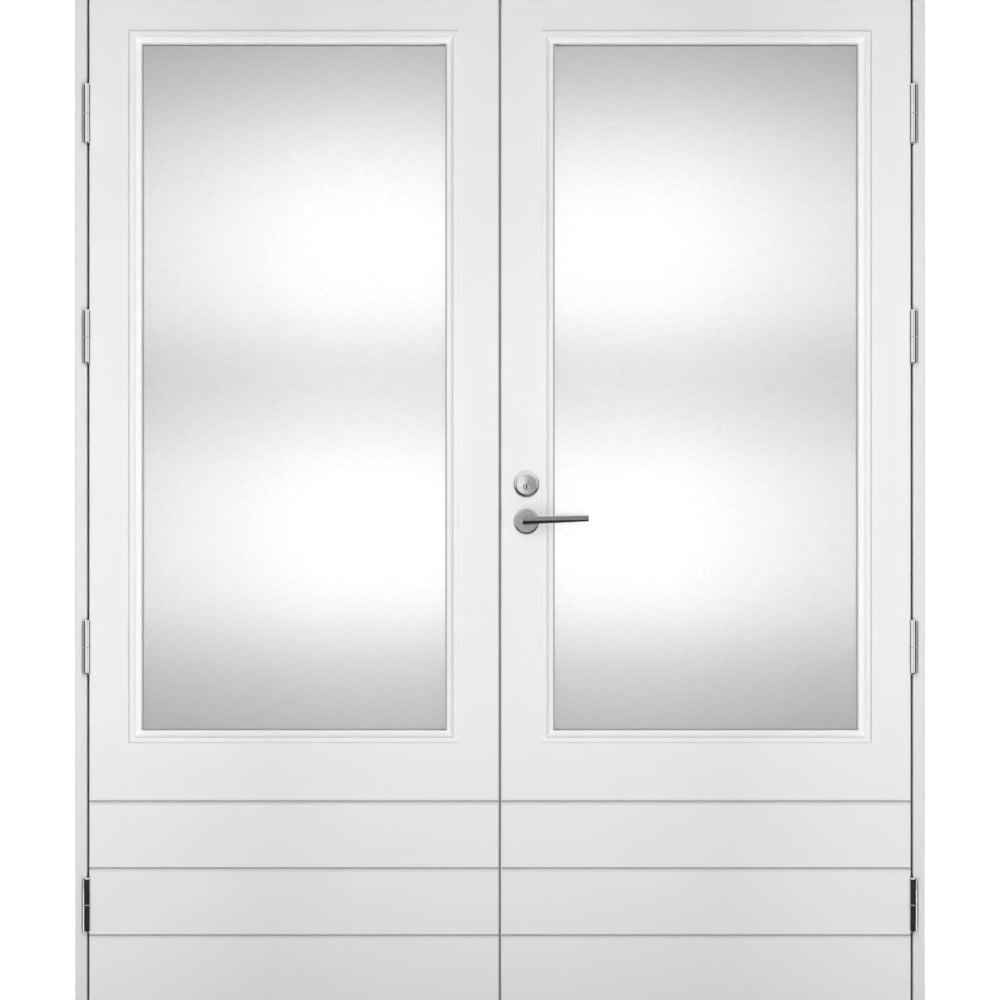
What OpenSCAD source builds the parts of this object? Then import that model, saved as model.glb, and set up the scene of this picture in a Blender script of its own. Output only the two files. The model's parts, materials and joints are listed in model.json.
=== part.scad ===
// Pair of glazed outside doors in a rebated frame, opening outwards.
// Millimetres. +Z is up, outdoors is -Y, and x = 0 is the line where the leaves meet.
// The origin is under the middle of the threshold, half way through the frame's depth.

/* [Frame] */
// Outside width of the frame
frame_w = 1690; // [1590:10:1890]
// Outside height of the frame
frame_h = 2090; // [2040:10:2190]
// Depth of the frame from its outdoor face to its room face
frame_d = 105; // [100:1:130]
// Width of frame that shows beside a closed leaf
frame_face = 23; // [20:1:30]
// How far the stop stands inside the rebate
stop_w = 20; // [18:1:24]
// Height of the hardwood threshold
threshold_h = 20; // [18:1:24]
// Height of the aluminium rail above the threshold
rail_h = 20; // [18:1:26]

/* [Leaves] */
// Thickness of a leaf
leaf_t = 62; // [58:1:66]
// Gap between a leaf and the frame at the sides and the top
side_gap = 5; // [4:0.5:6]
// Gap between the two leaves
mid_gap = 5; // [4.5:0.5:6]
// Gap under the leaves
foot_gap = 6; // [5:1:8]
// Radius of the painted edges
edge_r = 2.5; // [1.5:0.5:3]

/* [Glazing] */
// Leaf left showing around the moulding at the sides and the top
border = 80; // [76:1:90]
// Height of the moulding's lower edge above the floor
moulding_foot = 568; // [540:1:600]
// Width of the moulding across its section
bead_w = 23; // [22:1:26]
// How far the moulding stands out of the leaf
bead_proud = 6; // [4:0.5:7]
// Thickness of the sealed glass unit
glass_t = 24; // [20:1:26]

/* [Grooves] */
// Height of the lowest groove
groove_foot = 182; // [170:1:200]
// Distance from one groove to the next
groove_pitch = 133.3; // [110:0.1:140]
// Number of grooves in each panel
groove_count = 3; // [1:1:3]
// Width of a groove at the surface
groove_w = 10; // [6:0.5:11]
// Depth of a groove
groove_depth = 5; // [3:0.5:5.5]

/* [Hinges] */
// Height of the top hinge's centre
hinge_1_z = 1817; // [1790:1:1840]
// Height of the second hinge's centre
hinge_2_z = 1374; // [1330:1:1420]
// Height of the third hinge's centre
hinge_3_z = 758; // [720:1:800]
// Height of the lowest hinge's centre
hinge_4_z = 247; // [220:1:280]
// Length of the top hinge
hinge_top_len = 119; // [110:1:125]
// Length of the other hinges
hinge_len = 108; // [104:1:115]
// Diameter of the knuckles
knuckle_d = 16; // [13:0.5:16]
// Diameter of the hinge pins
pin_d = 7; // [6:0.5:8]

/* [Lock] */
// Height of the lever's spindle
handle_z = 1007; // [960:1:1040]
// Height of the lock cylinder above the spindle
cylinder_rise = 74; // [72:1:80]
// Distance from the leaf's edge to the spindle
backset = 50; // [48:1:52]
// Length of the lever from its spindle
lever_len = 122; // [110:1:135]
// Diameter of the roses and of the cylinder ring
rose_d = 51; // [48:1:54]
// Turn of the lever
lever_turn = 45; // [40:1:50]

/* [Hidden] */
$fn = 48;

// Heights of the hinge centres, from the top one down
hinge_z = [hinge_1_z, hinge_2_z, hinge_3_z, hinge_4_z];

// Planes of the frame
front = -frame_d / 2;
back = frame_d / 2;
half_w = frame_w / 2;
rebate_x = half_w - frame_face;
stop_x = rebate_x - stop_w;
rebate_z = frame_h - frame_face;
stop_z = rebate_z - stop_w;
rail_top = threshold_h + rail_h;

// Box of one leaf, drawn on the right-hand side
leaf_in = mid_gap / 2;
leaf_out = rebate_x - side_gap;
leaf_foot = threshold_h + foot_gap;
leaf_top = rebate_z - side_gap;
leaf_back = front + leaf_t;
leaf_mid = front + leaf_t / 2;

// Gasket between the leaves and the stops
gasket_t = 3.5;
stop_y = leaf_back + gasket_t;
gasket_w = 10;
tongue_w = 2.6;
tongue_depth = 5.5;
kerf_w = 3;
kerf_depth = 6;
kerf_x = rebate_x - side_gap - 7;
kerf_z = rebate_z - side_gap - 7;
kerf_foot_z = leaf_foot + 7;

// Moulding, glass opening and glass unit
lip = 8;
seat = 0.3;
bead_leg = 16;
glass_clear = 4;
mould_lo = [leaf_in + border, moulding_foot];
mould_hi = [leaf_out - border, leaf_top - border];
open_lo = mould_lo + [lip, lip];
open_hi = mould_hi - [lip, lip];
sight_lo = mould_lo + [bead_w, bead_w];
sight_hi = mould_hi - [bead_w, bead_w];
unit_lo = open_lo + [glass_clear, glass_clear];
unit_hi = open_hi - [glass_clear, glass_clear];
cove_r = bead_proud + 6;

// Slit at the foot of each groove
slit_w = 0.8;
slit_depth = 2.5;

// Hinges
hinge_x = rebate_x - side_gap / 2;
knuckle_r = knuckle_d / 2;
hinge_y = front - knuckle_r - 0.8;
plate_t = 3;
plate_w = 30;
knuckle_gap = 0.8;
pin_r = pin_d / 2;
pin_half = 38;
pin_play = 0.05;
screw_r = 2.2;
screw_head_r = 4.2;
screw_len = 20;
screw_inset = 20;
hinge_screw_rise = 36;
function hinge_l(i) = i == 0 ? hinge_top_len : hinge_len;

// Lock
lock_x = leaf_in + backset;
cylinder_z = handle_z + cylinder_rise;
rose_r = rose_d / 2;
rose_t = 8;
case_wall = 1.8;
bolt_t = 12;
bolt_play = 0.3;
case_t = bolt_t + 2 * bolt_play + 2 * case_wall;
case_x0 = leaf_in + plate_t;
case_x1 = case_x0 + 79;
case_z0 = handle_z - 42;
case_z1 = cylinder_z + 42;
face_plate_w = 24;
face_plate_z0 = handle_z - 84;
face_plate_z1 = cylinder_z + 82;
face_screw_inset = 12;
spindle_w = 8;
hub_r = 9;
neck_r = 8;
spindle_in = 28;
lever_out = 46;
arm_half_t = 6;
cylinder_r = 20.5;
cylinder_depth = leaf_t / 2 - case_t / 2;
ring_t = 10;
plug_r = 5.5;
plug_z = cylinder_z - 5.4;
plug_face = ring_t;
plug_mouth = 2.5;
shaft_r = 5;
plate_r = 20;

// The follower's finger swings as far to one side of upright as to the other
latch_throw = 12;
finger_r = latch_throw / 2 / sin(lever_turn / 2);
latch_half_h = 14;
latch_z = handle_z + finger_r;
latch_out = leaf_in - latch_throw;
latch_head_end = lock_x - hub_r - latch_throw - 1.5;
latch_notch_w = 7.4;

// The cam does the same for the dead bolt over a quarter turn
cam_r = 13;
cam_hub_r = 7;
bolt_throw = 2 * cam_r * sin(45);
bolt_z0 = cylinder_z + cam_hub_r + 1;
bolt_h = 20;
bolt_notch_w = 8.6;
finger_w = 3;
finger_half_t = 5;
roller_r = 2.5;

// Strike in the passive leaf, and its flush bolts
strike_z0 = handle_z - 30;
strike_z1 = cylinder_z + 60;
strike_depth = 24;
pocket_w = 15;
flush_x = leaf_in + 29;
flush_r = 5;
flush_throw = 18;
flush_len = 300;
flush_plate_l = 170;
flush_plate_off = 230;
knob_w = 9;
knob_h = 22;
socket_w = 26;
socket_l = 60;
socket_t = 2.5;
socket_depth = 15;

// Meeting seal
seal_y = front + 10;
seal_out = mid_gap - 0.4;
gasket_show = 0.6;
gasket_show_meeting = 3.5;

// Fixing holes through the stops
fix_r = 5;
fix_y = (stop_y + back) / 2;
fix_outer = [220, 1880];
fix_inner = [740, 1360];

// Colours
paint = [0.92, 0.92, 0.91];
oak = [0.62, 0.46, 0.28];
alloy = [0.75, 0.76, 0.77];
steel = [0.7, 0.71, 0.72];
rubber = [0.08, 0.08, 0.08];
satin = [0.88, 0.92, 0.91];

sides = ["top", "bottom", "hinge_side", "meeting_side"];
hands = [["left", -1], ["right", 1]];
leaves = [["passive", -1], ["active", 1]];
hinges = [0 : 3];

// Points of an arc, from one angle to another
function arc(c, r, from, to, n = 5) =
    [for (i = [0 : n]) let (a = from + (to - from) * i / n) c + r * [cos(a), sin(a)]];

// Draws on the right-hand side, or mirrored on the left
module on_side(s) {
    if (s > 0) children();
    else mirror([1, 0, 0]) children();
}

module box(lo, hi) {
    translate(lo) cube(hi - lo);
}

// Extrudes a (y, z) outline along X
module along_x(x0, x1) {
    translate([x0, 0, 0]) rotate([90, 0, 90]) linear_extrude(x1 - x0) children();
}

// A round bar along Y
module bar_y(x, z, r, y0, y1) {
    translate([x, y0, z]) rotate([-90, 0, 0]) cylinder(r = r, h = y1 - y0);
}

// A round bar along X
module bar_x(y, z, r, x0, x1) {
    translate([x0, y, z]) rotate([0, 90, 0]) cylinder(r = r, h = x1 - x0);
}

// A turned piece about a Y axis: its outline is (radius, height), and height runs outdoors
module turned_out(x, z, base_y) {
    translate([x, base_y, z]) rotate([90, 0, 0]) rotate_extrude() children();
}

// The same with height running into the room
module turned_in(x, z, base_y) {
    translate([x, base_y, z]) rotate([-90, 0, 0]) rotate_extrude() children();
}

// Frame

module jamb(s) {
    on_side(s) difference() {
        linear_extrude(frame_h) polygon(concat(
            arc([half_w - edge_r, front + edge_r], edge_r, 0, -90),
            arc([rebate_x + edge_r, front + edge_r], edge_r, -90, -180),
            [[rebate_x, stop_y]],
            [[kerf_x + kerf_w / 2, stop_y], [kerf_x + kerf_w / 2, stop_y + kerf_depth]],
            [[kerf_x - kerf_w / 2, stop_y + kerf_depth], [kerf_x - kerf_w / 2, stop_y]],
            arc([stop_x + edge_r, stop_y + edge_r], edge_r, -90, -180),
            arc([stop_x + edge_r, back - edge_r], edge_r, 180, 90),
            [[half_w, back]]
        ));
        for (i = hinges) {
            hinge_recess(i, rebate_x, rebate_x + plate_t);
            for (z = hinge_screw_heights(i)) screw_hole(rebate_x + plate_t, z, 1);
        }
        for (z = concat(fix_outer, fix_inner)) bar_x(fix_y, z, fix_r, stop_x - 1, half_w + 1);
    }
}

module jamb_left() { color(paint) jamb(-1); }
module jamb_right() { color(paint) jamb(1); }

module frame_head() {
    color(paint) difference() {
        union() {
            along_x(-rebate_x, rebate_x) polygon(concat(
                arc([front + edge_r, rebate_z + edge_r], edge_r, 180, 270),
                [[stop_y, rebate_z], [stop_y, frame_h]],
                arc([front + edge_r, frame_h - edge_r], edge_r, 90, 180)
            ));
            along_x(-stop_x, stop_x) polygon(concat(
                [[stop_y, frame_h], [stop_y, kerf_z + kerf_w / 2]],
                [[stop_y + kerf_depth, kerf_z + kerf_w / 2], [stop_y + kerf_depth, kerf_z - kerf_w / 2]],
                [[stop_y, kerf_z - kerf_w / 2]],
                arc([stop_y + edge_r, stop_z + edge_r], edge_r, 180, 270),
                arc([back - edge_r, stop_z + edge_r], edge_r, 270, 360),
                [[back, frame_h]]
            ));
        }
        socket_recess(1);
    }
}

module threshold() {
    color(oak) difference() {
        union() {
            along_x(-rebate_x, rebate_x) polygon([
                [front, 0], [front, threshold_h - 7], [front + 2, threshold_h - 5],
                [leaf_mid - 15, threshold_h], [stop_y, threshold_h], [stop_y, 0]
            ]);
            along_x(-stop_x, stop_x) polygon(concat(
                [[stop_y, 0], [stop_y, threshold_h]],
                arc([back - edge_r, threshold_h - edge_r], edge_r, 90, 0),
                [[back, 0]]
            ));
        }
        socket_recess(-1);
    }
}

module threshold_rail() {
    color(alloy) along_x(-stop_x, stop_x) polygon(concat(
        [[stop_y, threshold_h], [stop_y, kerf_foot_z - kerf_w / 2]],
        [[stop_y + kerf_depth, kerf_foot_z - kerf_w / 2], [stop_y + kerf_depth, kerf_foot_z + kerf_w / 2]],
        [[stop_y, kerf_foot_z + kerf_w / 2]],
        arc([stop_y + edge_r, rail_top - edge_r], edge_r, 180, 90),
        [[stop_y + 14, rail_top], [stop_y + 30, threshold_h + 3], [stop_y + 30, threshold_h]]
    ));
}

// Section of the gasket: a soft nose towards the leaf and a tongue in the stop
module gasket_section(nose) {
    polygon([
        [gasket_w / 2, 0], [gasket_w / 2, -nose * 0.4], [gasket_w / 2 - 2, -nose],
        [2 - gasket_w / 2, -nose], [-gasket_w / 2, -nose * 0.4], [-gasket_w / 2, 0],
        [-tongue_w / 2, 0], [-tongue_w / 2, tongue_depth], [tongue_w / 2, tongue_depth], [tongue_w / 2, 0]
    ]);
}

module frame_gasket() {
    nose = gasket_t - 0.3;
    z0 = threshold_h + 0.2;
    z1 = kerf_z + gasket_w / 2;
    reach = stop_x - 0.2;
    color(rubber) {
        for (s = [-1, 1]) on_side(s)
            translate([kerf_x, stop_y, z0]) linear_extrude(z1 - z0) gasket_section(nose);
        for (z = [kerf_z, kerf_foot_z])
            along_x(-reach, reach) translate([stop_y, z]) rotate(-90) gasket_section(nose);
    }
}

// Puts a piece at the passive leaf's flush bolt, under the head or turned over in the threshold
module at_socket(up) {
    translate([-flush_x, leaf_mid, up > 0 ? rebate_z : threshold_h])
        rotate([up > 0 ? 0 : 180, 0, 0]) children();
}

module socket_recess(up) {
    at_socket(up) {
        translate([-socket_l / 2, -socket_w / 2, -1]) cube([socket_l, socket_w, socket_t + 1]);
        translate([0, 0, -1]) cylinder(r = flush_r + 1, h = socket_depth + 1);
    }
}

module bolt_sockets() {
    color(steel) for (up = [-1, 1]) at_socket(up) difference() {
        translate([-socket_l / 2, -socket_w / 2, 0]) cube([socket_l, socket_w, socket_t]);
        translate([0, 0, -1]) cylinder(r = flush_r + 0.7, h = socket_t + 2);
    }
}

// Hinges

function hinge_screw_heights(i) = [for (k = [-1, 0, 1]) hinge_z[i] + k * hinge_screw_rise];

module hinge_recess(i, x0, x1) {
    box([x0, front - 1, hinge_z[i] - hinge_l(i) / 2], [x1, front + plate_w, hinge_z[i] + hinge_l(i) / 2]);
}

// Screw with its head flush at x, driven towards +X where dir is 1
module edge_screw(x, y, z, dir) {
    head_h = screw_head_r - screw_r;
    translate([x, y, z]) rotate([0, dir * 90, 0]) difference() {
        union() {
            cylinder(r1 = screw_head_r, r2 = screw_r, h = head_h);
            cylinder(r = screw_r, h = screw_len - 4);
            translate([0, 0, screw_len - 4]) cylinder(r1 = screw_r, r2 = 0.4, h = 4);
        }
        for (a = [0, 90]) rotate(a) translate([-2, -0.4, -1]) cube([4, 0.8, 2]);
    }
}

// Hole for such a screw in the wood behind a plate, whose back is at x
module screw_hole(x, z, dir, y = front + screw_inset) {
    translate([x, y, z]) rotate([0, dir * 90, 0]) translate([0, 0, -1])
        cylinder(r = screw_r + 0.05, h = screw_len - plate_t + 1.5);
}

module screw_sink(x, z, dir, y = front + screw_inset) {
    translate([x, y, z]) rotate([0, dir * 90, 0]) {
        cylinder(r1 = screw_head_r + 0.05, r2 = screw_r + 0.05, h = screw_head_r - screw_r);
        translate([0, 0, -1]) cylinder(r = screw_r + 0.05, h = plate_t + 2);
    }
}

// Half a hinge: a plate let into the wood, and a knuckle with one round end
module hinge_half(i, plate_x, screw_x, dir, up, bore_r) {
    half = hinge_l(i) / 2;
    barrel = half - knuckle_gap / 2;
    z_mid = hinge_z[i];
    difference() {
        union() {
            box([plate_x, front + 0.6, z_mid - half], [plate_x + plate_t, front + plate_w, z_mid + half]);
            translate([plate_x, hinge_y + 1, up > 0 ? z_mid + knuckle_gap / 2 : z_mid - half + 3])
                cube([plate_t, front + 2 - hinge_y - 1, barrel - 3]);
            translate([hinge_x, hinge_y, z_mid]) rotate([up > 0 ? 0 : 180, 0, 0])
                translate([0, 0, knuckle_gap / 2]) rotate_extrude() polygon(concat(
                    [[0, 0], [knuckle_r - 0.5, 0], [knuckle_r, 0.5]],
                    arc([knuckle_r - 3, barrel - 3], 3, 0, 90, 4),
                    [[0, barrel]]
                ));
        }
        translate([hinge_x, hinge_y, up > 0 ? z_mid - 1 : z_mid - pin_half])
            cylinder(r = bore_r, h = pin_half + (up > 0 ? 2 : 1));
        for (z = hinge_screw_heights(i)) screw_sink(screw_x, z, dir);
    }
}

module hinge_frame_half(s, i) {
    color(steel) on_side(s) hinge_half(i, rebate_x, rebate_x, 1, -1, pin_r);
}

module hinge_leaf_half(s, i) {
    color(steel) on_side(s) hinge_half(i, leaf_out - plate_t, leaf_out, -1, 1, pin_r + pin_play);
}

module hinge_pins() {
    straight = 2 * pin_half - 1.5;
    color(steel) for (s = [-1, 1], i = hinges) on_side(s)
        translate([hinge_x, hinge_y, hinge_z[i] - pin_half]) {
            cylinder(r = pin_r, h = straight);
            translate([0, 0, straight]) cylinder(r1 = pin_r, r2 = pin_r - 1, h = 1.5);
        }
}

module frame_hinge_screws() {
    color(steel) for (s = [-1, 1], i = hinges, z = hinge_screw_heights(i))
        on_side(s) edge_screw(rebate_x, front + screw_inset, z, 1);
}

// Leaves

// The painted slab with its opening, grooves and hinge recesses
module slab() {
    difference() {
        translate([0, 0, leaf_foot]) linear_extrude(leaf_top - leaf_foot) polygon(concat(
            arc([leaf_in + edge_r, front + edge_r], edge_r, 180, 270),
            arc([leaf_out - edge_r, front + edge_r], edge_r, 270, 360),
            arc([leaf_out - edge_r, leaf_back - edge_r], edge_r, 0, 90),
            arc([leaf_in + edge_r, leaf_back - edge_r], edge_r, 90, 180)
        ));
        box([open_lo.x, front - 1, open_lo.y], [open_hi.x, leaf_back + 1, open_hi.y]);
        for (k = [0 : groove_count - 1]) groove(groove_foot + k * groove_pitch);
        for (i = hinges) {
            hinge_recess(i, leaf_out - plate_t, leaf_out + 1);
            for (z = hinge_screw_heights(i)) screw_hole(leaf_out - plate_t, z, -1);
        }
    }
}

// A V-groove across the leaf with a narrow slit at its foot, on both faces
module groove(z) {
    half = groove_w / 2;
    slit = slit_w / 2;
    for (face = [[front, 1], [leaf_back, -1]]) {
        foot = face[0] + face[1] * groove_depth;
        slit_foot = foot + face[1] * slit_depth;
        along_x(leaf_in - 1, leaf_out + 1) polygon([
            [face[0] - face[1], z - half - 1], [face[0], z - half], [foot, z - slit], [slit_foot, z - slit],
            [slit_foot, z + slit], [foot, z + slit], [face[0], z + half], [face[0] - face[1], z + half + 1]
        ]);
    }
}

module passive_slab() {
    color(paint) on_side(-1) difference() {
        slab();
        edge_recess(strike_z0, strike_z1);
        box([leaf_in, leaf_mid - pocket_w / 2, latch_z - latch_half_h - 2],
            [leaf_in + strike_depth, leaf_mid + pocket_w / 2, latch_z + latch_half_h + 2]);
        box([leaf_in, leaf_mid - pocket_w / 2, bolt_z0 - 2],
            [leaf_in + strike_depth, leaf_mid + pocket_w / 2, bolt_z0 + bolt_h + 2]);
        box([leaf_in - 1, seal_y - kerf_w / 2, leaf_foot - 1],
            [leaf_in + kerf_depth, seal_y + kerf_w / 2, leaf_top + 1]);
        for (up = [-1, 1]) flush_channel(up);
    }
}

module active_slab() {
    color(paint) difference() {
        slab();
        edge_recess(face_plate_z0, face_plate_z1);
        box([leaf_in, leaf_mid - case_t / 2 - 0.2, case_z0 - 0.5],
            [case_x1 + 0.5, leaf_mid + case_t / 2 + 0.2, case_z1 + 0.5]);
        bar_y(lock_x, handle_z, neck_r + 1.5, front - 1, leaf_back + 1);
        bar_y(lock_x, cylinder_z, cylinder_r + 0.2, front - 1, leaf_mid);
        bar_y(lock_x, cylinder_z, shaft_r + 2, leaf_mid, leaf_back + 1);
    }
}

// Recess in a meeting edge for a plate with a screw at each end
module edge_recess(z0, z1) {
    box([leaf_in - 1, leaf_mid - face_plate_w / 2, z0],
        [leaf_in + plate_t, leaf_mid + face_plate_w / 2, z1]);
    for (z = end_screws(z0, z1)) screw_hole(leaf_in + plate_t, z, 1, leaf_mid);
}

function end_screws(z0, z1) = [z0 + face_screw_inset, z1 - face_screw_inset];

// The plate itself, before its openings are cut
module edge_plate(z0, z1) {
    difference() {
        box([leaf_in, leaf_mid - face_plate_w / 2, z0],
            [leaf_in + plate_t, leaf_mid + face_plate_w / 2, z1]);
        for (z = end_screws(z0, z1)) screw_sink(leaf_in, z, 1, leaf_mid);
    }
}

// Openings for the latch bolt and the dead bolt, from one X to another
module bolt_openings(x0, x1, play) {
    y0 = leaf_mid - bolt_t / 2 - play;
    y1 = leaf_mid + bolt_t / 2 + play;
    box([x0, y0, latch_z - latch_half_h - play], [x1, y1, latch_z + latch_half_h + play]);
    box([x0, y0, bolt_z0 - play], [x1, y1, bolt_z0 + bolt_h + play]);
}

// Moulding and glass

// Outline of the moulding: u runs from its outer edge to the glass, v stands out of the leaf
bead_outline = concat(
    [[0, 0]],
    arc([edge_r, bead_proud - edge_r], edge_r, 180, 90),
    arc([bead_w - 1, bead_proud], cove_r, 180, 270, 8),
    [[bead_w, bead_proud - cove_r], [bead_w, -bead_leg], [lip + seat, -bead_leg], [lip + seat, 0]]
);

// One mitred length along X, with its outer edge at z = 0 and its glass edge below
module bead_length(l) {
    over = bead_w + 1;
    intersection() {
        along_x(-l / 2, l / 2) polygon([for (p = bead_outline) [-p.y, -p.x]]);
        translate([0, bead_leg + 1, 0]) rotate([90, 0, 0]) linear_extrude(bead_leg + bead_proud + 2)
            polygon([[-l / 2 - 1, 1], [l / 2 + 1, 1], [l / 2 - over, -over], [-l / 2 + over, -over]]);
    }
}

// A length in its place on the outdoor face
module placed_bead(which) {
    c = (mould_lo + mould_hi) / 2;
    size = mould_hi - mould_lo;
    level = which == "top" || which == "bottom";
    turn = which == "top" ? 0 : which == "bottom" ? 180 : which == "hinge_side" ? 90 : -90;
    translate([c.x, front, c.y]) rotate([0, turn, 0])
        translate([0, 0, level ? size.y / 2 : size.x / 2]) bead_length(level ? size.x : size.y);
}

module outer_bead(s, which) {
    color(paint) on_side(s) placed_bead(which);
}

module inner_beads(s) {
    color(paint) on_side(s) translate([0, front + leaf_back, 0]) mirror([0, 1, 0])
        for (which = sides) placed_bead(which);
}

module glass_unit(s) {
    color(satin) on_side(s)
        box([unit_lo.x, leaf_mid - glass_t / 2, unit_lo.y], [unit_hi.x, leaf_mid + glass_t / 2, unit_hi.y]);
}

// A rubber loop on each face of the glass, showing past the moulding, most of all on the meeting side
module glazing_gaskets(s) {
    faces = [[front + bead_leg, leaf_mid - glass_t / 2], [leaf_mid + glass_t / 2, leaf_back - bead_leg]];
    color(rubber) on_side(s) for (y = faces) difference() {
        box([open_lo.x + 1, y[0], open_lo.y + 1], [open_hi.x - 1, y[1], open_hi.y - 1]);
        box([sight_lo.x + gasket_show_meeting, y[0] - 1, sight_lo.y + gasket_show],
            [sight_hi.x - gasket_show, y[1] + 1, sight_hi.y - gasket_show]);
    }
}

module meeting_seal() {
    color(rubber) on_side(-1) translate([leaf_in, seal_y, leaf_foot]) linear_extrude(leaf_top - leaf_foot)
        polygon(concat(
            [[0, 4]], arc([2 - seal_out, 0], 2, 110, 250, 6), [[0, -4], [0, -tongue_w / 2]],
            [[tongue_depth, -tongue_w / 2], [tongue_depth, tongue_w / 2], [0, tongue_w / 2]]
        ));
}

// Edge fittings of the passive leaf

module strike_plate() {
    color(steel) on_side(-1) difference() {
        edge_plate(strike_z0, strike_z1);
        bolt_openings(leaf_in - 1, leaf_in + plate_t + 1, 0.7);
    }
}

// Puts a flush bolt's parts at the leaf's top or bottom edge, with the leaf below z = 0
module at_flush(up) {
    translate([0, leaf_mid, up > 0 ? leaf_top : leaf_foot]) rotate([up > 0 ? 0 : 180, 0, 0]) children();
}

// Slot that the thumb piece slides in
module flush_slot(x0, x1, play) {
    reach = knob_h / 2 + flush_throw / 2 + play;
    box([x0, -knob_w / 2 - play, -flush_plate_off - reach],
        [x1, knob_w / 2 + play, -flush_plate_off + reach]);
}

function flush_screws(up) = [for (e = [-1, 1])
    (up > 0 ? leaf_top : leaf_foot) - up * (flush_plate_off + e * (flush_plate_l / 2 - face_screw_inset))];

module flush_channel(up) {
    at_flush(up) {
        translate([flush_x, 0, -flush_len - 2]) cylinder(r = flush_r + 0.4, h = flush_len + 3);
        flush_slot(leaf_in, flush_x, 0.8);
        box([leaf_in - 1, -face_plate_w / 2, -flush_plate_off - flush_plate_l / 2],
            [leaf_in + plate_t, face_plate_w / 2, -flush_plate_off + flush_plate_l / 2]);
    }
    for (z = flush_screws(up)) screw_hole(leaf_in + plate_t, z, 1, leaf_mid);
}

module flush_bolt_plates() {
    color(steel) on_side(-1) for (up = [-1, 1]) difference() {
        at_flush(up) box([leaf_in, -face_plate_w / 2, -flush_plate_off - flush_plate_l / 2],
            [leaf_in + plate_t, face_plate_w / 2, -flush_plate_off + flush_plate_l / 2]);
        at_flush(up) flush_slot(leaf_in - 1, leaf_in + plate_t + 1, 0.4);
        for (z = flush_screws(up)) screw_sink(leaf_in, z, 1, leaf_mid);
    }
}

// Rod with its thumb piece, drawn back into the leaf
module flush_bolt(up) {
    color(steel) on_side(-1) at_flush(up) {
        translate([flush_x, 0, -flush_len - 1]) cylinder(r = flush_r, h = flush_len - 1);
        translate([flush_x, 0, -2]) cylinder(r1 = flush_r, r2 = flush_r - 1, h = 1);
        translate([0, 0, -flush_plate_off - flush_throw / 2]) difference() {
            box([leaf_in + 0.5, -knob_w / 2, -knob_h / 2], [flush_x, knob_w / 2, knob_h / 2]);
            for (k = [-2 : 2]) translate([leaf_in, -knob_w / 2 - 1, k * 4 - 0.6])
                cube([1.3, knob_w + 2, 1.2]);
        }
    }
}

module passive_leaf_screws() {
    color(steel) on_side(-1) {
        for (i = hinges, z = hinge_screw_heights(i)) edge_screw(leaf_out, front + screw_inset, z, -1);
        for (z = end_screws(strike_z0, strike_z1)) edge_screw(leaf_in, leaf_mid, z, 1);
        for (up = [-1, 1], z = flush_screws(up)) edge_screw(leaf_in, leaf_mid, z, 1);
    }
}

// Lock of the active leaf

module lock_case() {
    color(steel) difference() {
        union() {
            edge_plate(face_plate_z0, face_plate_z1);
            box([case_x0, leaf_mid - case_t / 2, case_z0], [case_x1, leaf_mid + case_t / 2, case_z1]);
        }
        box([case_x0 + case_wall, leaf_mid - case_t / 2 + case_wall, case_z0 + case_wall],
            [case_x1 - case_wall, leaf_mid + case_t / 2 - case_wall, case_z1 - case_wall]);
        bolt_openings(leaf_in - 1, case_x0 + case_wall + 1, bolt_play);
        bar_y(lock_x, handle_z, hub_r + 0.3, leaf_mid - case_t, leaf_mid + case_t);
        bar_y(lock_x, cylinder_z, cam_hub_r + 0.3, leaf_mid - case_t, leaf_mid + case_t);
    }
}

module active_leaf_screws() {
    color(steel) {
        for (i = hinges, z = hinge_screw_heights(i)) edge_screw(leaf_out, front + screw_inset, z, -1);
        for (z = end_screws(face_plate_z0, face_plate_z1)) edge_screw(leaf_in, leaf_mid, z, 1);
    }
}

// A finger with a round end on a hub, leaning from upright by an angle
module finger(z, r, lean) {
    translate([lock_x, leaf_mid, z]) rotate([0, lean, 0]) {
        box([-finger_w / 2, -finger_half_t, 0], [finger_w / 2, finger_half_t, r]);
        bar_y(0, r, roller_r, -finger_half_t, finger_half_t);
    }
}

// Square bar through the leaf, with the follower that draws the latch
module spindle() {
    color(steel) {
        translate([lock_x, 0, handle_z])
            box([-spindle_w / 2, front - spindle_in, -spindle_w / 2],
                [spindle_w / 2, leaf_back + spindle_in, spindle_w / 2]);
        bar_y(lock_x, handle_z, hub_r, leaf_mid - case_t / 2, leaf_mid + case_t / 2);
        finger(handle_z, finger_r, -lever_turn / 2);
    }
}

module latch_bolt() {
    tail_z0 = handle_z + hub_r + 1.5;
    tail_z1 = latch_z + 9;
    notch_x = lock_x - latch_throw / 2;
    h = bolt_t / 2;
    color(steel) difference() {
        union() {
            translate([0, leaf_mid, latch_z - latch_half_h]) linear_extrude(2 * latch_half_h) polygon([
                [latch_out, -h], [latch_out, 1 - h], [latch_out + 9, h],
                [latch_head_end, h], [latch_head_end, -h]
            ]);
            box([latch_head_end - 1, leaf_mid - h + 0.5, tail_z0],
                [lock_x + 11, leaf_mid + h - 0.5, tail_z1]);
        }
        box([notch_x - latch_notch_w / 2, leaf_mid - h - 1, tail_z0 - 1],
            [notch_x + latch_notch_w / 2, leaf_mid + h + 1, latch_z + roller_r + 0.6]);
    }
}

module dead_bolt() {
    notch_x = lock_x + bolt_throw / 2;
    h = bolt_t / 2;
    color(steel) difference() {
        box([leaf_in + 0.3, leaf_mid - h, bolt_z0], [notch_x + 10, leaf_mid + h, bolt_z0 + bolt_h]);
        box([notch_x - bolt_notch_w / 2, leaf_mid - h - 1, bolt_z0 - 1],
            [notch_x + bolt_notch_w / 2, leaf_mid + h + 1, cylinder_z + cam_r + roller_r + 0.6]);
    }
}

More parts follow.
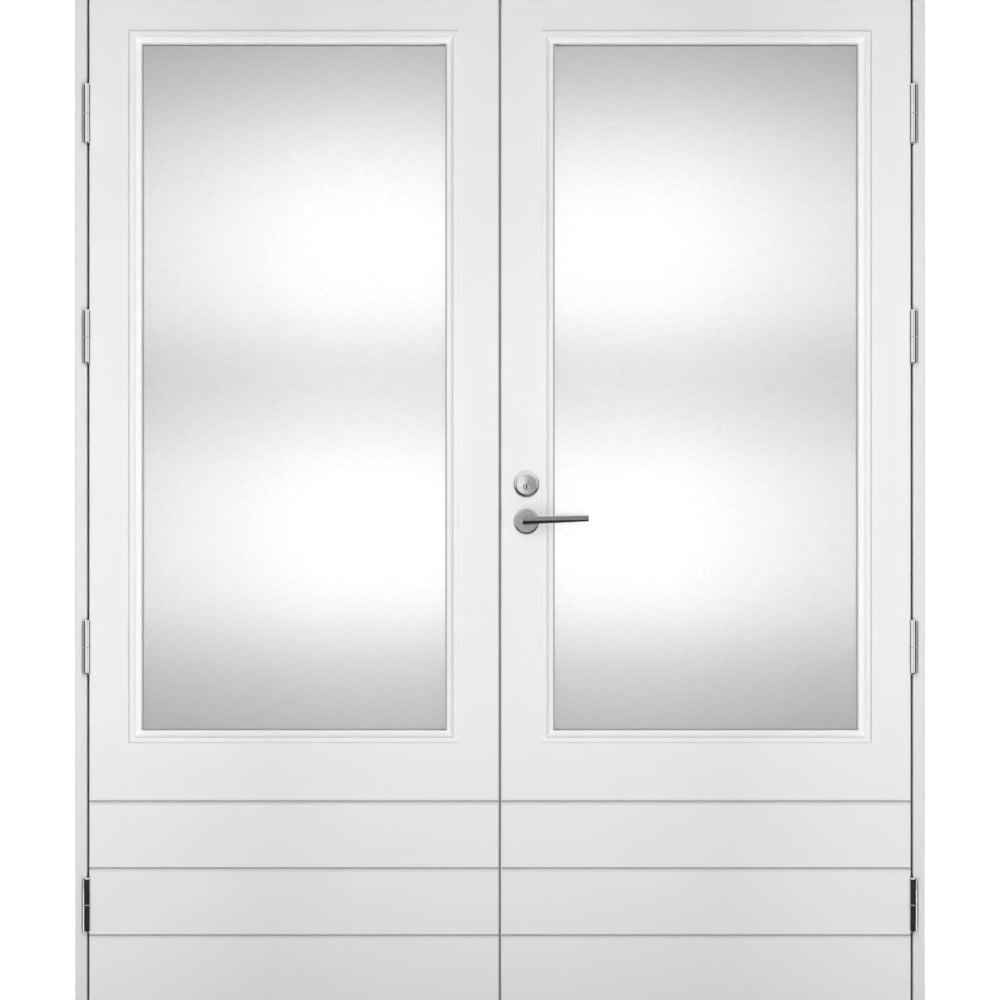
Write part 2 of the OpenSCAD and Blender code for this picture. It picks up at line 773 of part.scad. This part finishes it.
// Outline of a rose: a disc with a rounded rim and a hole for the neck
module rose_section(r, hole, t) {
    polygon(concat([[hole, 0], [r, 0]], arc([r - 4, t - 4], 4, 0, 90), [[hole, t]]));
}

module outer_rose() {
    color(steel) turned_out(lock_x, handle_z, front) rose_section(rose_r, neck_r + 0.4, rose_t);
}

// Long plate on the room side, behind the inner lever and the thumbturn
module inner_plate() {
    color(steel) difference() {
        translate([lock_x, leaf_back, 0]) rotate([-90, 0, 0]) linear_extrude(rose_t) polygon(concat(
            arc([0, -cylinder_z - 22], plate_r, 180, 360, 16),
            arc([0, -handle_z + 30], plate_r, 0, 180, 16)
        ));
        bar_y(lock_x, handle_z, neck_r + 0.4, leaf_back - 1, leaf_back + rose_t + 1);
        bar_y(lock_x, cylinder_z, shaft_r + 0.4, leaf_back - 1, leaf_back + rose_t + 1);
    }
}

module cylinder_ring() {
    r = rose_r + 0.5;
    hole = cylinder_r + 0.1;
    color(steel) turned_out(lock_x, cylinder_z, front)
        polygon(concat([[hole, 0], [r, 0]], arc([r - 4, 5], 4, 0, 60), [[hole, ring_t]]));
}

module cylinder_body() {
    color(steel) difference() {
        turned_out(lock_x, cylinder_z, front) polygon([
            [0, -cylinder_depth], [cylinder_r, -cylinder_depth], [cylinder_r, ring_t + 0.6],
            [cylinder_r - 1.2, ring_t + 1.8], [0, ring_t + 2.4]
        ]);
        bar_y(lock_x, plug_z, plug_r + 0.05, front - ring_t - 5, leaf_mid);
        translate([lock_x, front - plug_face - plug_mouth, plug_z]) rotate([-90, 0, 0])
            cylinder(r1 = plug_r + plug_mouth, r2 = plug_r, h = plug_mouth);
    }
}

// Key plug, below the middle of the cylinder and sunk in its mouth, with its keyway
module cylinder_plug() {
    color(steel) difference() {
        turned_out(lock_x, plug_z, front) polygon([
            [0, 0.3 - cylinder_depth], [plug_r, 0.3 - cylinder_depth], [plug_r, plug_face - 0.6],
            [plug_r - 0.6, plug_face], [0, plug_face]
        ]);
        translate([lock_x, front - plug_face - 1, plug_z]) {
            box([-1, 0, -4.5], [1, 10, 4.5]);
            box([-1, 0, 1.2], [2.6, 10, 3]);
        }
    }
}

// Thumbturn on the room side, its shaft, and the cam that throws the dead bolt
module thumbturn() {
    y0 = leaf_back + rose_t + 0.5;
    color(steel) {
        bar_y(lock_x, cylinder_z, cam_hub_r, leaf_mid - case_t / 2 + 0.2, leaf_mid + case_t / 2);
        bar_y(lock_x, cylinder_z, shaft_r, leaf_mid, y0 + 8);
        finger(cylinder_z, cam_r, 45);
        turned_in(lock_x, cylinder_z, y0) polygon([[0, 0], [15, 0], [15, 3], [12, 6], [0, 6]]);
        translate([lock_x, y0 + 5, cylinder_z]) rotate([-90, 0, 0]) linear_extrude(16)
            polygon(concat(arc([0, -14], 5, 180, 360, 8), arc([0, 14], 5, 0, 180, 8)));
    }
}

// Levers

// Section of the arm at a distance along it: flat to the front, with its lower edge cut away
module arm_section(x, half_t, top, arris, foot, cut) {
    translate([x, 0, 0]) rotate([90, 0, 90]) linear_extrude(0.4) polygon([
        [half_t - 1, top], [1 - half_t, top], [-half_t, top - 1], [-half_t, arris], [-half_t + cut, foot],
        [half_t - 1, foot], [half_t, foot + 1], [half_t, top - 1]
    ]);
}

// Lever drawn at the spindle, its neck running outdoors from the leaf's face at y = 0
module lever() {
    difference() {
        union() {
            bar_y(0, 0, neck_r, -lever_out, 0);
            translate([0, -lever_out, 0]) hull() {
                arm_section(0.5 - neck_r, arm_half_t, 10, 2, -5, 6);
                arm_section(lever_len - 0.4, arm_half_t - 1, 12.5, 4, 1, 2);
            }
        }
        box([-spindle_w / 2 - 0.05, -spindle_in - 0.5, -spindle_w / 2 - 0.05],
            [spindle_w / 2 + 0.05, 1, spindle_w / 2 + 0.05]);
    }
}

module outer_lever() {
    color(steel) translate([lock_x, front - 0.5, handle_z]) lever();
}

module inner_lever() {
    color(steel) translate([lock_x, leaf_back + 0.5, handle_z]) mirror([0, 1, 0]) lever();
}

jamb_left();
jamb_right();
frame_head();
threshold();
threshold_rail();
frame_gasket();
bolt_sockets();
hinge_pins();
frame_hinge_screws();
for (h = hands, i = hinges) {
    hinge_frame_half(h[1], i);
    hinge_leaf_half(h[1], i);
}
for (l = leaves) {
    for (which = sides)
        outer_bead(l[1], which);
    inner_beads(l[1]);
    glass_unit(l[1]);
    glazing_gaskets(l[1]);
}
passive_slab();
active_slab();
passive_leaf_screws();
active_leaf_screws();
meeting_seal();
strike_plate();
flush_bolt_plates();
flush_bolt(1);  // flush_bolt_top
flush_bolt(-1);  // flush_bolt_bottom
lock_case();
outer_rose();
inner_plate();
cylinder_ring();
cylinder_body();
cylinder_plug();
outer_lever();
inner_lever();
spindle();
latch_bolt();
dead_bolt();
thumbturn();
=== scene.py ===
"""Looks of a pair of glazed outside doors in their frame: finishes, studio light and camera."""

import json
import math

import bpy
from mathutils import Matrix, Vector

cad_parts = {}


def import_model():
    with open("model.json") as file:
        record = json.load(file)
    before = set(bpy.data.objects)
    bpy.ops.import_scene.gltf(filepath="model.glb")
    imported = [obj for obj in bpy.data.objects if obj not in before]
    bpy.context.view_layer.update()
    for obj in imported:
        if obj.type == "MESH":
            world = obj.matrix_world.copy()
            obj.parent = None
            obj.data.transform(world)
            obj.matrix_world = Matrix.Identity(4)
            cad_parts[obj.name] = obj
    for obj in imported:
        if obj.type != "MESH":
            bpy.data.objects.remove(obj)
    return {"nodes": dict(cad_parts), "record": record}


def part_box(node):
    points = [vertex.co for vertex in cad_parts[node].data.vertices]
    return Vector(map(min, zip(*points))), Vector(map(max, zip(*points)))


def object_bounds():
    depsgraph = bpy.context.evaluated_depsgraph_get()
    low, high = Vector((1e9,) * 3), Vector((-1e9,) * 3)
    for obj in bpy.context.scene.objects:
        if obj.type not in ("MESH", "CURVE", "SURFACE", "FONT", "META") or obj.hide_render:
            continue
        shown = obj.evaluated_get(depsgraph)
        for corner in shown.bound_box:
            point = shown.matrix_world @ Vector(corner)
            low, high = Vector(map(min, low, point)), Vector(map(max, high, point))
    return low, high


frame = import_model()
cad_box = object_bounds()
scene = bpy.context.scene

# Sizes in metres, taken from the frame
FRONT_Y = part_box("active_slab")[0].y
ROOM_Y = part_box("jamb_right")[1].y
KEY_PLUG_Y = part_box("cylinder_plug")[0].y
MEETING_TAPE_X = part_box("active_glazing_gaskets")[0].x
FRAME_HALF_WIDTH = cad_box[1].x
FRAME_HEIGHT = cad_box[1].z

# The view: straight on, with the frame's head and foot just outside the picture
VIEW_WIDTH = 1.988
VIEW_CENTRE_Z = 1.050
VIEW_DISTANCE = 5.0
SENSOR_MM = 36.0

# How white the paint is on the leaves, with the frame's white lowered as painted shade and the beads'
# raised as painted light
LEAF_WHITE = 0.85
FRAME_WHITE_PAINTED_SHADE = 0.78
BEAD_WHITE_PAINTED_LIGHT = 0.875

# Painted shade on faces that look down: share of the leaves' white left, and the normal heights that blend
# it in
GROOVE_PAINTED_SHADE_SHARE = 0.62
GROOVE_PAINTED_SHADE_BLEND = (-0.7, -0.3)

# Painted shade on the glazing tape along the meeting stiles: its width, the blur of its edge, and the share
# of tone left
MEETING_PAINTED_SHADE_WIDTH = 0.03
MEETING_PAINTED_SHADE_BLUR = 0.001
MEETING_PAINTED_SHADE_SHARE = 0.58

# Satin fittings, brushed along X, and the softer cylinder ring: range of roughness, and how much finer the
# surface's marks are along each axis
FITTING_ROUGHNESS = (0.19, 0.23)
FITTING_BRUSH = (1, 8, 8)
RING_ROUGHNESS = (0.27, 0.33)
RING_BRUSH = (8, 8, 8)

# Painted shade in the key slot: depths behind the key plug's face between which it turns dark, and the
# share of tone left
KEYWAY_PAINTED_SHADE_BLEND = (0.0008, 0.0016)
KEYWAY_PAINTED_SHADE_SHARE = 0.05

# The floor's reach from the middle in metres, and what it gives off towards the camera on top of the light
# on it.
# It gives off less near the object, a painted shadow from ambient occlusion with its own reach, deeper with
# a higher power
FLOOR_REACH = 14.0
FLOOR_LIFT = 0.86
SHADOW_REACH = 0.7
SHADOW_POWER = 3.0

# The room behind the glass: a glowing card close behind the frame, with its brightness as a share of
# ROOM_LIGHT by height in metres, which fades to ROOM_SIDE_SHARE between two distances from the middle
ROOM_CARD_Y = ROOM_Y + 0.06
ROOM_LIGHT = 1.32
ROOM_GLOW = [
    (0.58, 0.32), (0.69, 0.48), (0.77, 0.69), (0.85, 0.93), (0.97, 1.02), (1.09, 0.97), (1.17, 0.85),
    (1.28, 0.62), (1.37, 0.72), (1.45, 0.94), (1.60, 1.00), (1.69, 0.91), (1.77, 0.79), (1.85, 0.61),
    (1.96, 0.34),
]
ROOM_TINT = (1.0, 1.004, 0.996)
ROOM_FADE = (0.30, 0.80)
ROOM_SIDE_SHARE = 0.70

# Dark flags that only the metal reflects: two opposite corners and a brightness for each
FLAG_TINT = (1.0, 1.0, 1.03)
FLAG_FAR_Y = FRONT_Y - VIEW_DISTANCE - 1.0
FLAG_NEAR_Y = FRONT_Y - 0.03
FLAGS = {
    "flag_centre": ((0.05, FLAG_FAR_Y, 0), (1.6, FLAG_FAR_Y, 4.5), 0.36),
    "flag_floor": ((-4, FLAG_FAR_Y, 0.004), (4, FLAG_NEAR_Y, 0.004), 0.03),
    "flag_left": ((-2.6, -1.9, 0), (-2.6, 0.7, 2.8), 0.11),
    "flag_right": ((2.6, -1.9, 0), (2.6, 0.7, 2.8), 0.11),
}

# Even light from all round, where the white background isn't seen
AMBIENT = 0.25

# Lamps: two upright strips before the meeting stiles that look to the left and right, a soft lamp at each
# side of the frame, and one in the room
STRIP_PLACE = (0, FRONT_Y - 2.0, 1.2)
STRIP_TURN = (0.974, 0.225)
STRIP_SIZE = (0.3, 2.38)
STRIP_WATTS = 70
SIDE_PLACE = (3.2, 0.3, 1.5)
SIDE_AIM_Z = 1.05
SIDE_SIZE = (1.0, 1.8)
SIDE_WATTS = 24
ROOM_PLACE = (0, 3.2, 2.0)
ROOM_AIM = (0, 0, 1.0)
ROOM_SIZE = (2.0, 1.6)
ROOM_WATTS = 80


# Node helpers


class Nodes:
    """A node tree, with short calls for the nodes used here."""

    def __init__(self, tree):
        self.tree = tree
        coordinates = self.node("ShaderNodeTexCoord")
        self.place = coordinates.outputs["Object"]
        self.facing = coordinates.outputs["Normal"]

    def node(self, kind, **values):
        """Adds a node. Each value goes to the input of that name, or else to the node's own setting."""
        made = self.tree.nodes.new(kind)
        for key, value in values.items():
            if key in made.inputs:
                made.inputs[key].default_value = value
            else:
                setattr(made, key, value)
        return made

    def link(self, output, target):
        self.tree.links.new(output, target)

    def math(self, operation, *values):
        """Result of one operation on outputs or plain numbers."""
        made = self.node("ShaderNodeMath", operation=operation)
        for target, value in zip(made.inputs, values):
            if isinstance(value, bpy.types.NodeSocket):
                self.link(value, target)
            else:
                target.default_value = value
        return made.outputs["Value"]

    def spread(self, value, low, high, to_low, to_high, **settings):
        """Carries a value from one range over to another."""
        made = self.node("ShaderNodeMapRange", **settings)
        for key, number in (("From Min", low), ("From Max", high), ("To Min", to_low), ("To Max", to_high)):
            made.inputs[key].default_value = number
        self.link(value, made.inputs["Value"])
        return made.outputs["Result"]

    def axis(self, vector, name):
        """One coordinate of a vector."""
        axes = self.node("ShaderNodeSeparateXYZ")
        self.link(vector, axes.inputs["Vector"])
        return axes.outputs[name]

    def background_rays(self):
        """1 for rays from the camera, reflections and glass, which see the white background."""
        path = self.node("ShaderNodeLightPath").outputs
        seen = self.math("MAXIMUM", path["Is Camera Ray"], path["Is Glossy Ray"])
        return self.math("MAXIMUM", seen, path["Is Transmission Ray"])


class Shading(Nodes):
    """Nodes of one new material with a principled shader."""

    def __init__(self, name):
        self.material = bpy.data.materials.new(name)
        self.material.use_nodes = True
        super().__init__(self.material.node_tree)
        self.shader = self.tree.nodes["Principled BSDF"]

    def constants(self, **values):
        """Sets the shader's own sockets, named with underscores for spaces."""
        for key, value in values.items():
            self.shader.inputs[key.replace("_", " ")].default_value = value

    def stretched(self, scale):
        """The place on the object, scaled along each axis."""
        mapping = self.node("ShaderNodeMapping", Scale=scale)
        self.link(self.place, mapping.inputs["Vector"])
        return mapping.outputs["Vector"]

    def noise(self, scale, detail, stretch=None):
        """Soft noise over the object."""
        made = self.node("ShaderNodeTexNoise", Scale=scale, Detail=detail)
        self.link(self.stretched(stretch) if stretch else self.place, made.inputs["Vector"])
        return made.outputs["Fac"]

    def shades(self, value, dark, light, start=0.3, end=0.7, share=None):
        """Colours the surface between two shades, times a share where one is given."""
        ramp = self.node("ShaderNodeValToRGB")
        for stop, position, shade in zip(ramp.color_ramp.elements, (start, end), (dark, light)):
            stop.position = position
            stop.color = (*shade, 1)
        self.link(value, ramp.inputs["Fac"])
        colour = ramp.outputs["Color"]
        if share is not None:
            scaled = self.node("ShaderNodeVectorMath", operation="SCALE")
            self.link(colour, scaled.inputs["Vector"])
            self.link(share, scaled.inputs["Scale"])
            colour = scaled.outputs["Vector"]
        self.link(colour, self.shader.inputs["Base Color"])

    def roughness(self, value, low, high):
        """Varies the roughness between two levels."""
        self.link(self.spread(value, 0.3, 0.7, low, high), self.shader.inputs["Roughness"])

    def bump(self, value, strength, depth):
        """Raises the surface a little, with the depth in metres."""
        made = self.node("ShaderNodeBump", Strength=strength, Distance=depth)
        self.link(value, made.inputs["Height"])
        self.link(made.outputs["Normal"], self.shader.inputs["Normal"])


# Materials


def grey(level):
    """A neutral colour."""
    return (level, level, level)


def white_paint(name, level, painted_shade_share=None):
    """Factory sprayed paint: nearly even, with a faint cloudiness and a fine orange peel.

    Given a painted shade share, faces that look down, as the upper sides of the grooves do, keep only that
    share of its white as painted shade.
    """
    s = Shading(name)
    share = None
    # Painted shade: faces that look down, as in the grooves, keep only a share of the white
    if painted_shade_share is not None:
        share = s.spread(s.axis(s.facing, "Z"), *GROOVE_PAINTED_SHADE_BLEND, painted_shade_share, 1.0)
    low, high = level * 0.983, level * 1.017
    dark, light = (low, low * 1.003, low * 0.997), (high, high, high * 0.996)
    s.shades(s.noise(scale=1.7, detail=3), dark, light, share=share)
    s.roughness(s.noise(scale=22, detail=3), low=0.34, high=0.46)
    s.bump(s.noise(scale=420, detail=2), strength=0.05, depth=0.0006)
    s.constants(IOR=1.46)
    return s.material


def satin_glass():
    """Etched glass: light passes softly, with a fine cloudiness and a slightly green tint."""
    s = Shading("satin_glass")
    dark, light = (0.902, 0.918, 0.917), (0.966, 0.978, 0.977)
    s.shades(s.noise(scale=110, detail=2), dark, light, start=0.35, end=0.65)
    s.roughness(s.noise(scale=60, detail=2), low=0.29, high=0.33)
    s.constants(Transmission_Weight=0.8, IOR=1.45)
    return s.material


def hinge_steel():
    """Bright plated steel with a few soft streaks along the knuckle."""
    s = Shading("hinge_steel")
    streaks = s.noise(scale=9, detail=4, stretch=(30, 30, 3))
    s.shades(streaks, dark=(0.74, 0.75, 0.76), light=(0.84, 0.85, 0.86))
    s.roughness(s.noise(scale=60, detail=3, stretch=(8, 8, 1)), low=0.06, high=0.12)
    s.constants(Metallic=1.0)
    return s.material


def satin_chrome(name, dark, light, roughness, stretch):
    """Satin plated fittings, brushed along one direction or evenly fine."""
    s = Shading(name)
    s.shades(s.noise(scale=160, detail=3, stretch=stretch), dark, light)
    s.roughness(s.noise(scale=180, detail=3, stretch=stretch), *roughness)
    s.constants(Metallic=1.0)
    return s.material


def turned_chrome(name, keyway_painted_shade=False):
    """Face of the lock cylinder, brushed in circles so that light fans across it.

    With painted shade in the key slot, what lies behind the key plug's face is dark.
    """
    s = Shading(name)
    share = None
    # Painted shade: darker behind the key plug's face, in the key slot
    if keyway_painted_shade:
        start, end = (KEY_PLUG_Y + depth for depth in KEYWAY_PAINTED_SHADE_BLEND)
        share = s.spread(s.axis(s.place, "Y"), start, end, 1.0, KEYWAY_PAINTED_SHADE_SHARE)
    dark, light = (0.78, 0.79, 0.80), (0.86, 0.87, 0.88)
    s.shades(s.noise(scale=300, detail=3), dark, light, share=share)
    s.roughness(s.noise(scale=500, detail=2), low=0.12, high=0.17)
    tangent = s.node("ShaderNodeTangent", direction_type="RADIAL", axis="Y")
    s.link(tangent.outputs["Tangent"], s.shader.inputs["Tangent"])
    s.constants(Metallic=1.0, Anisotropic=0.5)
    return s.material


def zinc_steel():
    """Zinc plated lock parts and screws, with a mottled passivated surface."""
    s = Shading("zinc_steel")
    s.shades(s.noise(scale=90, detail=4), dark=(0.52, 0.54, 0.56), light=(0.68, 0.69, 0.68))
    s.roughness(s.noise(scale=140, detail=3), low=0.28, high=0.45)
    s.constants(Metallic=1.0)
    return s.material


def brushed_aluminium():
    """Anodised rail, drawn along its length."""
    s = Shading("brushed_aluminium")
    lines = s.noise(scale=12, detail=4, stretch=(0.6, 60, 60))
    s.shades(lines, dark=(0.66, 0.67, 0.68), light=(0.76, 0.77, 0.78))
    s.roughness(lines, low=0.30, high=0.42)
    s.bump(lines, strength=0.08, depth=0.0003)
    s.constants(Metallic=1.0)
    return s.material


def rubber():
    """Matt black seal rubber."""
    s = Shading("rubber")
    s.shades(s.noise(scale=240, detail=3), dark=grey(0.045), light=grey(0.070))
    s.roughness(s.noise(scale=120, detail=2), low=0.60, high=0.80)
    s.bump(s.noise(scale=900, detail=2), strength=0.15, depth=0.0003)
    return s.material


def seal_grey():
    """Mid grey seal rubber between the leaves."""
    s = Shading("seal_grey")
    s.shades(s.noise(scale=240, detail=3), dark=grey(0.25), light=grey(0.30))
    s.roughness(s.noise(scale=120, detail=2), low=0.55, high=0.70)
    return s.material


def glazing_grey_painted_shade():
    """Pale glazing tape round the glass, with painted shade along the meeting stiles that makes it a darker
    grey there.
    """
    s = Shading("glazing_grey_painted_shade")
    # Painted shade: the tape is darker within a strip along the meeting stiles
    edge = MEETING_TAPE_X + MEETING_PAINTED_SHADE_WIDTH
    from_middle = s.math("ABSOLUTE", s.axis(s.place, "X"))
    share = s.spread(from_middle, edge - MEETING_PAINTED_SHADE_BLUR, edge, MEETING_PAINTED_SHADE_SHARE, 1.0)
    s.shades(s.noise(scale=240, detail=3), dark=grey(0.78), light=grey(0.86), share=share)
    s.roughness(s.noise(scale=120, detail=2), low=0.55, high=0.70)
    return s.material


def oak():
    """Oiled oak with its grain along the threshold."""
    s = Shading("oak")
    grain = s.noise(scale=9, detail=8, stretch=(0.5, 16, 16))
    s.shades(grain, dark=(0.30, 0.185, 0.085), light=(0.58, 0.40, 0.215), start=0.25, end=0.75)
    s.roughness(s.noise(scale=30, detail=4, stretch=(0.6, 14, 14)), low=0.42, high=0.62)
    s.bump(grain, strength=0.2, depth=0.0008)
    return s.material


def slot_finishes():
    """The finish of each material slot in the record."""
    dark, light = (0.54, 0.55, 0.56), (0.58, 0.59, 0.60)
    chrome = satin_chrome("satin_chrome", dark, light, FITTING_ROUGHNESS, FITTING_BRUSH)
    return {
        "white_paint": white_paint("white_paint", LEAF_WHITE),
        "satin_glass": satin_glass(),
        "hinge_steel": hinge_steel(),
        "satin_chrome": chrome,
        "zinc_steel": zinc_steel(),
        "aluminium": brushed_aluminium(),
        "rubber": rubber(),
        "oak": oak(),
    }


def node_finishes():
    """The finish of each node that differs from the rest of its slot."""
    # Leaf paint with painted shade on faces that look down, as in the grooves
    panel_paint_painted_shade = white_paint("panel_paint_painted_shade", LEAF_WHITE, GROOVE_PAINTED_SHADE_SHARE)
    # Same white paint throughout: darker on the frame as painted shade, lighter on the beads as painted
    # light
    frame_paint_painted_shade = white_paint("frame_paint_painted_shade", FRAME_WHITE_PAINTED_SHADE)
    bead_paint_painted_light = white_paint("bead_paint_painted_light", BEAD_WHITE_PAINTED_LIGHT)
    dark, light = (0.42, 0.43, 0.44), (0.46, 0.47, 0.48)
    lever_chrome = satin_chrome("lever_chrome", dark, light, FITTING_ROUGHNESS, FITTING_BRUSH)
    dark, light = (0.70, 0.71, 0.72), (0.76, 0.77, 0.78)
    ring_chrome = satin_chrome("ring_chrome", dark, light, RING_ROUGHNESS, RING_BRUSH)
    tape = glazing_grey_painted_shade()
    wearers = {name: bead_paint_painted_light for name in frame["nodes"] if "_bead" in name}
    wearers.update({
        "passive_slab": panel_paint_painted_shade,
        "active_slab": panel_paint_painted_shade,
        "jamb_left": frame_paint_painted_shade,
        "jamb_right": frame_paint_painted_shade,
        "frame_head": frame_paint_painted_shade,
        "outer_lever": lever_chrome,
        "inner_lever": lever_chrome,
        "cylinder_body": turned_chrome("turned_chrome"),
        "cylinder_ring": ring_chrome,
        # Key plug with painted shade in its key slot
        "cylinder_plug": turned_chrome("key_chrome", keyway_painted_shade=True),
        "passive_glazing_gaskets": tape,
        "active_glazing_gaskets": tape,
        "meeting_seal": seal_grey(),
    })
    return wearers


def dress():
    """Gives every node its finish."""
    of_slot = slot_finishes()
    of_node = node_finishes()
    for part in frame["record"]["subparts"]:
        name = part["node"]
        materials = frame["nodes"][name].data.materials
        materials.clear()
        materials.append(of_node.get(name, of_slot[part["material_slot"]]))


# Stage: floor, cards and lights


def flat_card(name, low, high):
    """A rectangle between two opposite corners that share one coordinate."""
    first, second = (axis for axis in range(3) if low[axis] != high[axis])
    corners = []
    for along_first, along_second in ((low, low), (high, low), (high, high), (low, high)):
        corner = Vector(low)
        corner[first] = along_first[first]
        corner[second] = along_second[second]
        corners.append(corner)
    mesh = bpy.data.meshes.new(name)
    mesh.from_pydata(corners, [], [tuple(range(len(corners)))])
    card = bpy.data.objects.new(name, mesh)
    scene.collection.objects.link(card)
    return card


def floor():
    """Pale floor that the camera sees as white, with the object's lamp shadow left on it and a painted
    shadow from ambient occlusion near the object.
    """
    card = flat_card("floor", (-FLOOR_REACH, -FLOOR_REACH, 0), (FLOOR_REACH, FLOOR_REACH, 0))
    s = Shading("floor_white")
    s.shades(s.noise(scale=0.8, detail=2), dark=grey(0.50), light=grey(0.53))
    s.constants(Roughness=0.9, Emission_Color=(1, 1, 1, 1))
    # Painted shadow: the floor gives off less where ambient occlusion finds the object near
    open_sky = s.node("ShaderNodeAmbientOcclusion", samples=8, Distance=SHADOW_REACH).outputs["AO"]
    unshaded = s.math("MULTIPLY", s.background_rays(), s.math("POWER", open_sky, SHADOW_POWER))
    s.link(s.math("MULTIPLY", unshaded, FLOOR_LIFT), s.shader.inputs["Emission Strength"])
    card.data.materials.append(s.material)


def glow_only(card, glossy, transmission):
    """Leaves a card to reflections or to light through glass."""
    card.visible_camera = False
    card.visible_diffuse = False
    card.visible_shadow = False
    card.visible_volume_scatter = False
    card.visible_glossy = glossy
    card.visible_transmission = transmission


def glowing(card):
    """Gives a card a material that only gives off light, and returns its nodes and its light."""
    material = bpy.data.materials.new(card.name)
    material.use_nodes = True
    material.node_tree.nodes.clear()
    nodes = Nodes(material.node_tree)
    light = nodes.node("ShaderNodeEmission")
    out = nodes.node("ShaderNodeOutputMaterial")
    nodes.link(light.outputs["Emission"], out.inputs["Surface"])
    card.data.materials.append(material)
    return nodes, light


def tinted(level, tint):
    """A colour of one brightness with a faint tint."""
    return (*(level * share for share in tint), 1)


def room_card():
    """Soft light in the room, seen only through the satin glass: two bright fields and darker ends."""
    low = (-FRAME_HALF_WIDTH, ROOM_CARD_Y, 0)
    card = flat_card("room_card", low, (FRAME_HALF_WIDTH, ROOM_CARD_Y, FRAME_HEIGHT))
    nodes, light = glowing(card)
    ramp = nodes.node("ShaderNodeValToRGB")
    ramp.color_ramp.interpolation = "B_SPLINE"
    stops = ramp.color_ramp.elements
    while len(stops) < len(ROOM_GLOW):
        stops.new(0.5)
    for stop, (height, level) in zip(stops, ROOM_GLOW):
        stop.position = height / FRAME_HEIGHT
        stop.color = tinted(level, ROOM_TINT)
    nodes.link(nodes.math("DIVIDE", nodes.axis(nodes.place, "Z"), FRAME_HEIGHT), ramp.inputs["Fac"])
    nodes.link(ramp.outputs["Color"], light.inputs["Color"])

    from_middle = nodes.math("ABSOLUTE", nodes.axis(nodes.place, "X"))
    side_light = ROOM_LIGHT * ROOM_SIDE_SHARE
    fade = nodes.spread(from_middle, *ROOM_FADE, ROOM_LIGHT, side_light, interpolation_type="SMOOTHSTEP")
    nodes.link(fade, light.inputs["Strength"])
    glow_only(card, glossy=False, transmission=True)


def dark_flags():
    """A flag behind the camera, one on the floor before the door, and one at each side, as in a studio."""
    for name, (low, high, level) in FLAGS.items():
        card = flat_card(name, low, high)
        _, light = glowing(card)
        light.inputs["Color"].default_value = tinted(level, FLAG_TINT)
        glow_only(card, glossy=True, transmission=False)


def soft_lamp(name, place, aim, size, watts):
    """A rectangular lamp that lights matt surfaces and isn't seen itself."""
    data = bpy.data.lights.new(name, "AREA")
    data.shape = "RECTANGLE"
    data.size, data.size_y = size
    data.energy = watts
    lamp = bpy.data.objects.new(name, data)
    lamp.location = place
    lamp.rotation_mode = "QUATERNION"
    lamp.rotation_quaternion = (Vector(aim) - Vector(place)).to_track_quat("-Z", "Y")
    lamp.visible_camera = False
    lamp.visible_glossy = False
    lamp.visible_transmission = False
    scene.collection.objects.link(lamp)


def lights():
    """All lamps, in pairs for the left and right side."""
    strip_x, strip_y, strip_z = STRIP_PLACE
    side_x, side_y, side_z = SIDE_PLACE
    turn_x, turn_y = STRIP_TURN
    for side, sign in (("left", -1), ("right", 1)):
        strip_aim = (strip_x + sign * turn_x, strip_y + turn_y, strip_z)
        soft_lamp(f"key_{side}", STRIP_PLACE, strip_aim, STRIP_SIZE, STRIP_WATTS)
        side_aim = (sign * FRAME_HALF_WIDTH, 0, SIDE_AIM_Z)
        soft_lamp(f"side_{side}", (sign * side_x, side_y, side_z), side_aim, SIDE_SIZE, SIDE_WATTS)
    soft_lamp("room_fill", ROOM_PLACE, ROOM_AIM, ROOM_SIZE, ROOM_WATTS)


def world():
    """Even grey light, and white wherever the camera, a reflection or the glass looks past the object."""
    made = bpy.data.worlds.new("studio")
    made.use_nodes = True
    scene.world = made
    nodes = Nodes(made.node_tree)
    back = nodes.tree.nodes["Background"]
    back.inputs["Color"].default_value = (1, 1, 1, 1)
    nodes.link(nodes.spread(nodes.background_rays(), 0, 1, AMBIENT, 1.0), back.inputs["Strength"])


def camera():
    """The camera, level and straight in front of the doors."""
    data = bpy.data.cameras.new("camera")
    data.sensor_width = SENSOR_MM
    data.lens = SENSOR_MM * VIEW_DISTANCE / VIEW_WIDTH
    made = bpy.data.objects.new("camera", data)
    made.location = (0, FRONT_Y - VIEW_DISTANCE, VIEW_CENTRE_Z)
    made.rotation_euler = (math.radians(90), 0, 0)
    scene.collection.objects.link(made)
    scene.camera = made


scene.view_settings.view_transform = "Standard"
dress()
floor()
room_card()
dark_flags()
lights()
world()
camera()
